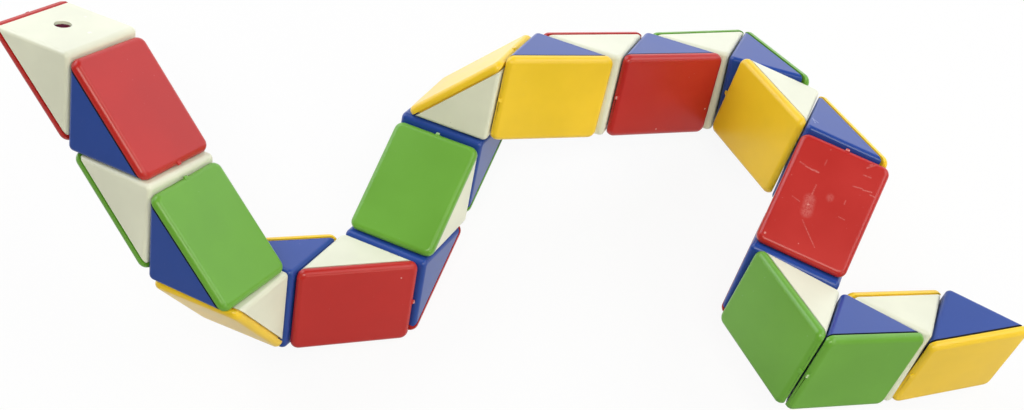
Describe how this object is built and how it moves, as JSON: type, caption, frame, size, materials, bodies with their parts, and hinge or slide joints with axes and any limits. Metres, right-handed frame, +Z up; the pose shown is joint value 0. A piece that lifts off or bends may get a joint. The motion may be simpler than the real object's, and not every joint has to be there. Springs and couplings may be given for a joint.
{
  "type": "articulated snake toy",
  "caption": "Twistable chain toy of right-angled plastic wedges that pivot face to face on hidden spring bolts, posed as a wavy snake.",
  "frame": {"origin": "under the middle of the toy's bounding box, on the table that it rests on", "axes": "+Z up from the table, +X from the head end (the end with the open pivot hole facing up) towards the tail end, +Y away from the side that the picture was taken from"},
  "size_m": [0.2184, 0.1016, 0.0685],
  "materials": {
    "ivory_plastic": "glossy moulded plastic",
    "blue_plastic": "glossy moulded plastic",
    "red_plastic": "glossy moulded plastic",
    "green_plastic": "glossy moulded plastic",
    "yellow_plastic": "glossy moulded plastic",
    "plated_steel": "zinc-plated steel"
  },
  "bodies": {
    "wedge_01": {"wedge_01_shell": "ivory_plastic", "wedge_01_cover": "red_plastic"},
    "wedge_02": {"wedge_02_shell": "blue_plastic", "wedge_02_cover": "red_plastic", "wedge_02_pivots": "plated_steel"},
    "wedge_03": {"wedge_03_shell": "ivory_plastic", "wedge_03_cover": "green_plastic"},
    "wedge_04": {"wedge_04_shell": "blue_plastic", "wedge_04_cover": "green_plastic", "wedge_04_pivots": "plated_steel"},
    "wedge_05": {"wedge_05_shell": "ivory_plastic", "wedge_05_cover": "yellow_plastic"},
    "wedge_06": {"wedge_06_shell": "blue_plastic", "wedge_06_cover": "yellow_plastic", "wedge_06_pivots": "plated_steel"},
    "wedge_07": {"wedge_07_shell": "ivory_plastic", "wedge_07_cover": "red_plastic"},
    "wedge_08": {"wedge_08_shell": "blue_plastic", "wedge_08_cover": "red_plastic", "wedge_08_pivots": "plated_steel"},
    "wedge_09": {"wedge_09_shell": "ivory_plastic", "wedge_09_cover": "green_plastic"},
    "wedge_10": {"wedge_10_shell": "blue_plastic", "wedge_10_cover": "green_plastic", "wedge_10_pivots": "plated_steel"},
    "wedge_11": {"wedge_11_shell": "ivory_plastic", "wedge_11_cover": "yellow_plastic"},
    "wedge_12": {"wedge_12_shell": "blue_plastic", "wedge_12_cover": "yellow_plastic", "wedge_12_pivots": "plated_steel"},
    "wedge_13": {"wedge_13_shell": "ivory_plastic", "wedge_13_cover": "red_plastic"},
    "wedge_14": {"wedge_14_shell": "blue_plastic", "wedge_14_cover": "red_plastic", "wedge_14_pivots": "plated_steel"},
    "wedge_15": {"wedge_15_shell": "ivory_plastic", "wedge_15_cover": "green_plastic"},
    "wedge_16": {"wedge_16_shell": "blue_plastic", "wedge_16_cover": "green_plastic", "wedge_16_pivots": "plated_steel"},
    "wedge_17": {"wedge_17_shell": "ivory_plastic", "wedge_17_cover": "yellow_plastic"},
    "wedge_18": {"wedge_18_shell": "blue_plastic", "wedge_18_cover": "yellow_plastic", "wedge_18_pivots": "plated_steel"},
    "wedge_19": {"wedge_19_shell": "ivory_plastic", "wedge_19_cover": "red_plastic"},
    "wedge_20": {"wedge_20_shell": "blue_plastic", "wedge_20_cover": "red_plastic", "wedge_20_pivots": "plated_steel"},
    "wedge_21": {"wedge_21_shell": "ivory_plastic", "wedge_21_cover": "green_plastic"},
    "wedge_22": {"wedge_22_shell": "blue_plastic", "wedge_22_cover": "green_plastic", "wedge_22_pivots": "plated_steel"},
    "wedge_23": {"wedge_23_shell": "ivory_plastic", "wedge_23_cover": "yellow_plastic"},
    "wedge_24": {"wedge_24_shell": "blue_plastic", "wedge_24_cover": "yellow_plastic", "wedge_24_pivots": "plated_steel"}
  },
  "joints": [
    {"name": "twist_01", "type": "hinge", "parent": "wedge_02", "child": "wedge_01", "pos_m": [-0.08892, 0.00288, 0.05477], "axis": [0.8808, -0.4532, 0.1375], "continuous": true},
    {"name": "twist_02", "type": "hinge", "parent": "wedge_03", "child": "wedge_02", "pos_m": [-0.08104, -0.00756, 0.04732], "axis": [0.1406, 0.5275, 0.8378], "range_deg": [-270, 90]},
    {"name": "twist_03", "type": "hinge", "parent": "wedge_04", "child": "wedge_03", "pos_m": [-0.0732, -0.01808, 0.03991], "axis": [0.8768, -0.4594, 0.1421], "continuous": true},
    {"name": "twist_04", "type": "hinge", "parent": "wedge_05", "child": "wedge_04", "pos_m": [-0.06514, -0.02825, 0.03226], "axis": [-0.1204, -0.4958, -0.86], "continuous": true},
    {"name": "twist_05", "type": "hinge", "parent": "wedge_06", "child": "wedge_05", "pos_m": [-0.06196, -0.02543, 0.01781], "axis": [-0.4191, -0.76, 0.4968], "continuous": true},
    {"name": "twist_06", "type": "hinge", "parent": "wedge_07", "child": "wedge_06", "pos_m": [-0.04794, -0.02191, 0.0136], "axis": [0.8977, -0.4288, 0.1013], "continuous": true},
    {"name": "twist_07", "type": "hinge", "parent": "wedge_08", "child": "wedge_07", "pos_m": [-0.03389, -0.01829, 0.00955], "axis": [-0.4214, -0.7684, 0.4817], "continuous": true},
    {"name": "twist_08", "type": "hinge", "parent": "wedge_09", "child": "wedge_08", "pos_m": [-0.02795, -0.00509, 0.0137], "axis": [-0.1366, -0.4713, -0.8713], "range_deg": [-155, 138]},
    {"name": "twist_09", "type": "hinge", "parent": "wedge_10", "child": "wedge_09", "pos_m": [-0.02218, 0.00819, 0.01783], "axis": [-0.4057, -0.7758, 0.4832], "range_deg": [-270, 90]},
    {"name": "twist_10", "type": "hinge", "parent": "wedge_11", "child": "wedge_10", "pos_m": [-0.01623, 0.0214, 0.02198], "axis": [-0.1523, -0.4639, -0.8727], "range_deg": [-90, 170]},
    {"name": "twist_11", "type": "hinge", "parent": "wedge_12", "child": "wedge_11", "pos_m": [-0.00487, 0.02207, 0.03184], "axis": [-0.9148, 0.4003, -0.0531], "continuous": true},
    {"name": "twist_12", "type": "hinge", "parent": "wedge_12", "child": "wedge_13", "pos_m": [0.0088, 0.02605, 0.02691], "axis": [-0.3684, -0.7736, 0.5156], "continuous": true},
    {"name": "twist_13", "type": "hinge", "parent": "wedge_13", "child": "wedge_14", "pos_m": [0.02251, 0.03016, 0.02223], "axis": [0.9189, -0.3873, 0.0755], "range_deg": [-270, 90]},
    {"name": "twist_14", "type": "hinge", "parent": "wedge_14", "child": "wedge_15", "pos_m": [0.03622, 0.03428, 0.01754], "axis": [-0.3684, -0.7736, 0.5156], "range_deg": [-10, 25]},
    {"name": "twist_15", "type": "hinge", "parent": "wedge_15", "child": "wedge_16", "pos_m": [0.04998, 0.03858, 0.01317], "axis": [-0.9232, 0.3696, -0.1052], "continuous": true},
    {"name": "twist_16", "type": "hinge", "parent": "wedge_16", "child": "wedge_17", "pos_m": [0.05584, 0.02618, 0.01938], "axis": [0.3728, 0.7953, -0.478], "range_deg": [-28, 8]},
    {"name": "twist_17", "type": "hinge", "parent": "wedge_17", "child": "wedge_18", "pos_m": [0.06138, 0.01294, 0.02396], "axis": [0.8931, -0.4474, -0.0478], "continuous": true},
    {"name": "twist_18", "type": "hinge", "parent": "wedge_18", "child": "wedge_19", "pos_m": [0.06696, -0.00022, 0.0287], "axis": [-0.3684, -0.7881, 0.4932], "range_deg": [-128, 170]},
    {"name": "twist_19", "type": "hinge", "parent": "wedge_19", "child": "wedge_20", "pos_m": [0.06046, -0.0132, 0.0247], "axis": [0.2427, 0.4306, 0.8693], "range_deg": [-90, 113]},
    {"name": "twist_20", "type": "hinge", "parent": "wedge_20", "child": "wedge_21", "pos_m": [0.05378, -0.02609, 0.0207], "axis": [0.384, 0.7803, -0.4937], "range_deg": [-10, 10]},
    {"name": "twist_21", "type": "hinge", "parent": "wedge_21", "child": "wedge_22", "pos_m": [0.05902, -0.03948, 0.02518], "axis": [-0.8759, 0.477, 0.0725], "continuous": true},
    {"name": "twist_22", "type": "hinge", "parent": "wedge_22", "child": "wedge_23", "pos_m": [0.07249, -0.03618, 0.01931], "axis": [0.389, 0.7872, -0.4785], "range_deg": [-10, 6]},
    {"name": "twist_23", "type": "hinge", "parent": "wedge_23", "child": "wedge_24", "pos_m": [0.08604, -0.03276, 0.01369], "axis": [-0.8831, 0.4666, 0.0496], "continuous": true}
  ]
}
